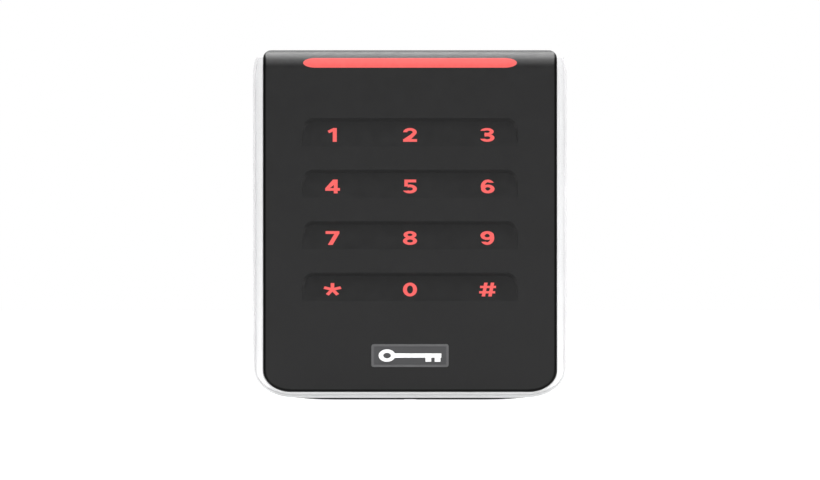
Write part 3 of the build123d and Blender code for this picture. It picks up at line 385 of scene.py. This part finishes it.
def board_material():
    """Green solder mask over copper tracks, with small plated holes."""
    t = Tree("board_green")
    ground = (0.010, 0.105, 0.040)
    brick = t.add("ShaderNodeTexBrick", offset=0.37, squash=1.0)
    turned = t.add("ShaderNodeMapping")
    t.link(t.place, turned.inputs["Vector"])
    turned.inputs["Rotation"].default_value = (math.radians(90), 0, 0)
    t.link(turned.outputs["Vector"], brick.inputs["Vector"])
    brick.inputs["Scale"].default_value = 320.0
    brick.inputs["Mortar Size"].default_value = 0.035
    brick.inputs["Mortar Smooth"].default_value = 0.2
    tracks = brick.outputs["Fac"]
    holes = t.spread(t.cells(3.1 * MM), 0.10, 0.13, 1.0, 0.0)
    cloud = t.spread(t.noise(9 * MM), 0.3, 0.7)
    body = t.mixed(cloud, shade(ground, 0.85), shade(ground, 1.1))
    body = t.mixed(tracks, body, (0.020, 0.170, 0.065))
    body = t.mixed(holes, body, (0.55, 0.42, 0.18))
    t.put(t.shader, "Base Color", body)
    t.put(t.shader, "Roughness", t.spread(cloud, 0.0, 1.0, 0.24, 0.36))
    t.bumped([(tracks, 0.02 * MM), (holes, 0.02 * MM)])
    return t.material


def wound_material():
    """Enamelled copper wire, wound side by side."""
    t = Tree("copper")
    turns = t.slanted_bands(0.22 * MM)
    cloud = t.spread(t.noise(4 * MM), 0.3, 0.7)
    body = t.mixed(cloud, (0.62, 0.27, 0.12), (0.78, 0.38, 0.19))
    t.put(t.shader, "Base Color", body)
    t.put(t.shader, "Roughness", t.spread(turns, 0.0, 1.0, 0.22, 0.38))
    t.shader.inputs["Metallic"].default_value = 1.0
    t.bumped([(turns, 0.03 * MM)])
    return t.material


MATERIALS = {
    "cover_black": cover_material(),
    "housing_black": moulded(
        "housing_black", (0.020, 0.020, 0.0215), 0.55, 0.6 * MM, 0.03 * MM, specular=0.35,
        wear=0.4, coarse=(2.5 * MM, 0.01 * MM),
    ),
    "plate_black": moulded(
        "plate_black", (0.034, 0.034, 0.036), 0.62, 0.35 * MM, 0.03 * MM, specular=0.4, blotch=0.16,
        wear=0.5, coarse=(1.6 * MM, 0.03 * MM),
    ),
    "trim_silver": trim_material(),
    "gasket_rubber": moulded(
        "gasket_rubber", (0.018, 0.018, 0.019), 0.8, 0.5 * MM, 0.03 * MM, specular=0.3, wear=0.2
    ),
    "steel": metal("steel", (0.60, 0.60, 0.61), 0.32, 0.25 * MM, 0.004 * MM, stretch=(1, 1, 0.2)),
    "steel_dark": metal("steel_dark", (0.20, 0.20, 0.21), 0.38, 0.2 * MM, 0.004 * MM),
    "light_red": lit_material(),
    "badge_grey": badge_material(),
    "badge_white": mark_material(),
    "diffuser_white": moulded(
        "diffuser_white", (0.80, 0.80, 0.78), 0.4, 0.4 * MM, 0.008 * MM, blotch=0.04
    ),
    "former_white": moulded("former_white", (0.72, 0.72, 0.68), 0.5, 0.4 * MM, 0.01 * MM),
    "led_white": moulded("led_white", (0.85, 0.80, 0.50), 0.25, 0.2 * MM, 0.003 * MM),
    "board_green": board_material(),
    "copper": wound_material(),
    "pin_brass": metal("pin_brass", (0.72, 0.52, 0.20), 0.30, 0.2 * MM, 0.003 * MM),
    "ferrite_grey": moulded("ferrite_grey", (0.07, 0.07, 0.075), 0.75, 0.3 * MM, 0.02 * MM),
    "chip_black": moulded("chip_black", (0.022, 0.022, 0.024), 0.5, 0.2 * MM, 0.008 * MM),
    "shield_steel": metal("shield_steel", (0.66, 0.65, 0.62), 0.30, 0.3 * MM, 0.004 * MM),
    "capacitor_tan": moulded("capacitor_tan", (0.42, 0.28, 0.15), 0.45, 0.2 * MM, 0.005 * MM),
    "connector_beige": moulded("connector_beige", (0.62, 0.55, 0.40), 0.45, 0.3 * MM, 0.008 * MM),
    "terminal_green": moulded("terminal_green", (0.025, 0.24, 0.09), 0.42, 0.4 * MM, 0.012 * MM),
    "plunger_white": moulded("plunger_white", (0.70, 0.70, 0.66), 0.36, 0.3 * MM, 0.006 * MM),
}

slot_of = {part["node"]: part["material_slot"] for part in frame["record"]["subparts"]}
for name, piece in nodes.items():
    piece.data.materials.clear()
    piece.data.materials.append(MATERIALS[slot_of[name]])

# ---------------------------------------------------------------- detailed pieces


def new_piece(name, shape, slot, smooth=True):
    """Make an object from a finished bmesh, with its slot's material."""
    mesh = bpy.data.meshes.new(name)
    bmesh.ops.recalc_face_normals(shape, faces=shape.faces)
    shape.to_mesh(mesh)
    shape.free()
    for face in mesh.polygons:
        face.use_smooth = smooth
    mesh.materials.append(MATERIALS[slot])
    piece = bpy.data.objects.new(name, mesh)
    scene.collection.objects.link(piece)
    return piece


def lathe(rings, count, centre):
    """A closed surface through rings about an upright axis, each a (radius function, height)."""
    shape = bmesh.new()
    made = []
    for radius, height in rings:
        if radius is None:
            made.append([shape.verts.new((centre[0], centre[1], height))] * count)
            continue
        angles = [2 * math.pi * i / count for i in range(count)]
        made.append([
            shape.verts.new((
                centre[0] + radius(angle) * math.cos(angle),
                centre[1] + radius(angle) * math.sin(angle),
                height,
            ))
            for angle in angles
        ])
    for lower, upper in zip(made, made[1:]):
        for i in range(count):
            corners = [lower[i - 1], lower[i], upper[i], upper[i - 1]]
            unique = [corner for n, corner in enumerate(corners) if corner not in corners[:n]]
            shape.faces.new(unique)
    return shape


def tube(path, radius, sides, closed=False):
    """A round wire along a path of points, with its ends closed."""
    shape = bmesh.new()
    count = len(path)
    made = []
    for index, point in enumerate(path):
        before = path[index - 1] if closed or index > 0 else point
        after = path[(index + 1) % count] if closed or index < count - 1 else point
        along = (after - before).normalized()
        side = along.cross(Vector((0, 1, 0))).normalized()
        up = side.cross(along)
        made.append([
            shape.verts.new(
                point
                + radius * math.cos(2 * math.pi * i / sides) * side
                + radius * math.sin(2 * math.pi * i / sides) * up
            )
            for i in range(sides)
        ])
    pairs = list(zip(made, made[1:]))
    if closed:
        pairs.append((made[-1], made[0]))
    for first, second in pairs:
        for i in range(sides):
            shape.faces.new((first[i - 1], first[i], second[i], second[i - 1]))
    if not closed:
        shape.faces.new(made[0])
        shape.faces.new(made[-1])
    return shape


def tamper_coil():
    """The plunger's spring, which stretches between the board and the plunger's collar."""
    low_corner, high_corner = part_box("tamper_spring")
    wire = 0.22 * MM
    centre_x = (low_corner[0] + high_corner[0]) / 2
    centre_z = (low_corner[2] + high_corner[2]) / 2
    reach = (high_corner[0] - low_corner[0]) / 2 - wire
    start = low_corner[1] + wire
    end = high_corner[1] - wire
    turns = 2.7
    steps = 120
    seat = 0.12
    path = []
    for index in range(steps + 1):
        share = index / steps
        # The first and last parts of the coil, a share called seat, lie flat against their seats.
        rise = min(1.0, max(0.0, (share - seat) / (1 - 2 * seat)))
        angle = 2 * math.pi * turns * share
        path.append(Vector((
            centre_x + reach * math.cos(angle),
            start + (end - start) * rise,
            centre_z + reach * math.sin(angle),
        )))
    piece = new_piece("tamper_coil", tube(path, wire, 12), "steel")
    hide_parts("tamper_spring")
    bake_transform(piece)


def threaded_screw():
    """The security screw, with a real thread and a six-lobed socket with a pin in it."""
    low_corner, high_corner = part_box("security_screw")
    centre = ((low_corner[0] + high_corner[0]) / 2, (low_corner[1] + high_corner[1]) / 2)
    bottom = low_corner[2]
    top = high_corner[2]
    head_radius = (high_corner[0] - low_corner[0]) / 2
    head_height = 2.0 * MM
    crest = 1.49 * MM
    root = 1.20 * MM
    pitch = 0.5 * MM
    socket_depth = 1.3 * MM
    socket_radius = 1.12 * MM
    lobe = 0.15 * MM
    pin_radius = 0.36 * MM
    pin_drop = 0.10 * MM      # the pin's end lies this far inside the socket
    chamfer = 0.10 * MM
    head_round = 0.60 * MM
    rows_per_turn = 12

    def plain(radius):
        return lambda angle: radius

    def lobed(angle):
        return socket_radius + lobe * math.cos(6 * angle)

    def threaded(height, limit):
        def radius(angle):
            phase = (height / pitch - angle / (2 * math.pi)) % 1.0
            flank = abs(2 * phase - 1)
            return min(limit, root + (crest - root) * min(1.0, max(0.0, 1.5 * flank - 0.2)))
        return radius

    rings = [
        (None, bottom + pin_drop),
        (plain(pin_radius - 0.08 * MM), bottom + pin_drop),
        (plain(pin_radius - 0.02 * MM), bottom + pin_drop + 0.06 * MM),
        (plain(pin_radius), bottom + socket_depth),
        (lobed, bottom + socket_depth),
        (lobed, bottom + 0.08 * MM),
        (lambda angle: lobed(angle) + 0.08 * MM, bottom),
        (plain(head_radius - head_round), bottom),
    ]
    for step in range(1, 7):
        turned = math.radians(15 * step)
        rings.append((
            plain(head_radius - head_round * (1 - math.sin(turned))),
            bottom + head_round * (1 - math.cos(turned)),
        ))
    shoulder = bottom + head_height
    rings += [
        (plain(head_radius), shoulder - chamfer),
        (plain(head_radius - chamfer), shoulder),
        (plain(crest), shoulder),
        (plain(root), shoulder + 0.35 * MM),
    ]
    first = shoulder + 0.40 * MM
    rows = round((top - first) / pitch * rows_per_turn)
    for row in range(rows + 1):
        height = first + (top - first) * row / rows
        limit = min(crest, root - 0.15 * MM + (top - height), root + (height - first))
        rings.append((threaded(height, limit), height))
    rings.append((None, top))
    piece = new_piece("security_screw_threaded", lathe(rings, 72, centre), "steel_dark")
    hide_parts("security_screw")
    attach(piece, "screw")


def rounded_loop(half_x, half_z, corner, centre_z, depth, steps=8):
    """Points round an upright rectangle with round corners."""
    points = []
    for quarter, (side_x, side_z) in enumerate(((1, 1), (-1, 1), (-1, -1), (1, -1))):
        for step in range(steps + 1):
            angle = math.radians(90 * (quarter + step / steps))
            points.append(Vector((
                side_x * (half_x - corner) + corner * math.cos(angle),
                depth,
                centre_z + side_z * (half_z - corner) + corner * math.sin(angle),
            )))
    return points


def antenna_winding():
    """The antenna's enamelled wire: turns side by side in three layers in its former's groove."""
    low_corner, high_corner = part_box("antenna_coil")
    centre_z = (low_corner[2] + high_corner[2]) / 2
    half_x = (high_corner[0] - low_corner[0]) / 2
    half_z = (high_corner[2] - low_corner[2]) / 2
    width = 1.7 * MM
    outer_corner = 3.9 * MM
    depth = high_corner[1] - low_corner[1]
    turns_across = 6
    wire = width / (2 * turns_across)
    layer_step = (depth - 2 * wire) / 2 * 0.9
    winding = bmesh.new()
    for layer in range(3):
        # The middle layer lies in the gaps of the others, so it has one turn fewer.
        for turn in range(turns_across - layer % 2):
            inset = wire * (1 + 2 * turn + layer % 2)
            loop = rounded_loop(
                half_x - inset, half_z - inset, outer_corner - inset, centre_z,
                high_corner[1] - wire - layer * layer_step,
            )
            single = tube(loop, wire * 0.98, 8, closed=True)
            mesh = bpy.data.meshes.new("turn")
            single.to_mesh(mesh)
            single.free()
            winding.from_mesh(mesh)
            bpy.data.meshes.remove(mesh)
    piece = new_piece("antenna_winding", winding, "copper")
    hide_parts("antenna_coil")
    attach(piece, "reader")


def chip_leads(name, node, per_side, sides, wide, reach):
    """Bent leads along a chip's sides, from its body down to the board behind it."""
    low_corner, high_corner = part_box(node)
    board = high_corner[1]
    middle_x = (low_corner[0] + high_corner[0]) / 2
    middle_z = (low_corner[2] + high_corner[2]) / 2
    half = {
        "x": (high_corner[0] - low_corner[0]) / 2,
        "z": (high_corner[2] - low_corner[2]) / 2,
    }
    thick = 0.12 * MM
    rise = 0.45 * (high_corner[1] - low_corner[1])
    section = ((-wide / 2, 0), (wide / 2, 0), (wide / 2, thick), (-wide / 2, thick))
    # Each lead leaves the body level, bends down and ends in a flat foot.
    line = [
        (-0.05 * MM, rise), (0.35 * reach, rise), (0.50 * reach, 0.55 * rise),
        (0.58 * reach, thick), (reach, thick),
    ]
    shape = bmesh.new()
    for side in sides:
        along = "z" if side in ("+x", "-x") else "x"
        edge = half["x"] if along == "z" else half["z"]
        sign = 1 if side[0] == "+" else -1
        span = 2 * half[along] * 0.84
        for index in range(per_side):
            offset = -span / 2 + span * index / (per_side - 1)
            rows = []
            for out, height in line:
                row = []
                for across, lift in section:
                    flat = (sign * (edge + out), offset + across)
                    x, z = flat if along == "z" else flat[::-1]
                    depth = board - height + thick - lift
                    row.append(shape.verts.new((middle_x + x, depth, middle_z + z)))
                rows.append(row)
            for first, second in zip(rows, rows[1:]):
                for i in range(4):
                    shape.faces.new((first[i - 1], first[i], second[i], second[i - 1]))
            shape.faces.new(rows[0])
            shape.faces.new(rows[-1])
    piece = new_piece(name, shape, "shield_steel", smooth=False)
    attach(piece, "reader")


tamper_coil()
threaded_screw()
antenna_winding()
chip_leads("processor_leads", "processor", 16, ("+x", "-x", "+z", "-z"), 0.30 * MM, 0.95 * MM)
chip_leads("reader_chip_leads", "reader_chip", 8, ("+x", "-x", "+z", "-z"), 0.35 * MM, 0.80 * MM)
chip_leads("secure_element_leads", "secure_element", 4, ("+x", "-x"), 0.40 * MM, 0.90 * MM)

# ---------------------------------------------------------------- stage, light and camera

low = cad_bounds[0]


def disc(name, radius, height, count=96):
    """A flat round floor with a rim that turns down a little."""
    mesh = bpy.data.meshes.new(name)
    shape = bmesh.new()
    rings = []
    for reach, drop in ((radius, 0.0), (radius * 1.01, 0.02)):
        rings.append([
            shape.verts.new((
                reach * math.cos(2 * math.pi * i / count),
                reach * math.sin(2 * math.pi * i / count),
                height - drop,
            ))
            for i in range(count)
        ])
    shape.faces.new(rings[0])
    for i in range(count):
        shape.faces.new((rings[0][i - 1], rings[1][i - 1], rings[1][i], rings[0][i]))
    shape.to_mesh(mesh)
    shape.free()
    piece = bpy.data.objects.new(name, mesh)
    scene.collection.objects.link(piece)
    return piece


FLOOR_RADIUS = 3.0
FLOOR_GAP = 0.05 * MM         # the floor lies this far under the object
floor = disc("floor", FLOOR_RADIUS, low[2] - FLOOR_GAP)
floor_tree = Tree("floor_pale")
grain = floor_tree.noise(0.12)
floor_tree.put(
    floor_tree.shader, "Base Color",
    floor_tree.mixed(grain, (0.27, 0.27, 0.27), (0.30, 0.30, 0.30)),
)
floor_tree.shader.inputs["Roughness"].default_value = 0.9
floor_tree.shader.inputs["Specular IOR Level"].default_value = 0.0
floor_tree.shader.inputs["Emission Color"].default_value = (1.0, 1.0, 1.0, 1.0)
# The floor lights the object from below more strongly than it shows in the picture.
FLOOR_LIGHT = 1.22
FLOOR_SEEN = 0.92
floor_glow = floor_tree.spread(
    floor_tree.add("ShaderNodeLightPath").outputs["Is Camera Ray"], 0.0, 1.0, FLOOR_LIGHT, FLOOR_SEEN
)
floor_tree.put(floor_tree.shader, "Emission Strength", floor_glow)
floor.data.materials.append(floor_tree.material)

world = bpy.data.worlds.new("studio")
scene.world = world
world.use_nodes = True
sky = world.node_tree
sky.nodes.clear()
BACKDROP = 1.05               # light from the white backdrop behind the object
ROOM = 0.40                   # light from everywhere else in the studio


def sky_node(kind, **settings):
    node = sky.nodes.new(kind)
    for name, value in settings.items():
        setattr(node, name, value)
    return node


direction = sky_node("ShaderNodeSeparateXYZ")
sky.links.new(sky_node("ShaderNodeTexCoord").outputs["Generated"], direction.inputs[0])
behind = sky_node("ShaderNodeMapRange", interpolation_type="SMOOTHSTEP")
sky.links.new(direction.outputs["Y"], behind.inputs["Value"])
behind.inputs["From Min"].default_value = 0.35
behind.inputs["From Max"].default_value = 0.75
behind.inputs["To Min"].default_value = ROOM
behind.inputs["To Max"].default_value = BACKDROP
room = sky_node("ShaderNodeBackground")
sky.links.new(behind.outputs["Result"], room.inputs["Strength"])
white = sky_node("ShaderNodeBackground")
white.inputs["Color"].default_value = (1, 1, 1, 1)
room.inputs["Color"].default_value = (1, 1, 1, 1)
seen = sky_node("ShaderNodeMixShader")
sky.links.new(sky_node("ShaderNodeLightPath").outputs["Is Camera Ray"], seen.inputs[0])
sky.links.new(room.outputs[0], seen.inputs[1])
sky.links.new(white.outputs[0], seen.inputs[2])
sky.links.new(seen.outputs[0], sky_node("ShaderNodeOutputWorld").inputs["Surface"])


def softbox(name, place, size, power):
    """A soft rectangular lamp that points at the object."""
    light = bpy.data.lights.new(name, "AREA")
    light.shape = "RECTANGLE"
    light.size = size[0]
    light.size_y = size[1]
    light.energy = power
    lamp = bpy.data.objects.new(name, light)
    lamp.location = place
    lamp.rotation_euler = (-Vector(place)).to_track_quat("-Z", "Y").to_euler()
    lamp.visible_camera = False
    scene.collection.objects.link(lamp)


softbox("overhead", (0.0, 0.35, 1.0), (1.4, 0.4), 26.0)
softbox("above", (0.0, -0.10, 1.1), (1.2, 0.25), 16.0)
softbox("key", (0.25, -0.42, 1.35), (0.9, 0.35), 12.0)
softbox("near", (0.30, -0.45, 0.62), (0.4, 0.3), 1.2)
softbox("high", (0.1, -1.5, 1.4), (1.0, 0.5), 12.0)

FRAME_WIDTH = 285.5 * MM      # what the picture's width takes in at the cover's face
LENS = 300.0
SENSOR = 36.0
EYE_HEIGHT = -5.5 * MM        # the camera's height, just below the middle of the object
lens = bpy.data.cameras.new("camera")
lens.lens = LENS
lens.sensor_width = SENSOR
lens.sensor_fit = "HORIZONTAL"
lens.clip_end = 50.0
camera = bpy.data.objects.new("camera", lens)
camera.location = (0.0, low[1] - LENS * FRAME_WIDTH / SENSOR, EYE_HEIGHT)
camera.rotation_euler = (math.radians(90), 0, 0)
scene.collection.objects.link(camera)
scene.camera = camera

scene.view_settings.view_transform = "Standard"
scene.view_settings.look = "None"
scene.view_settings.exposure = 0.0
scene.view_settings.gamma = 1.0
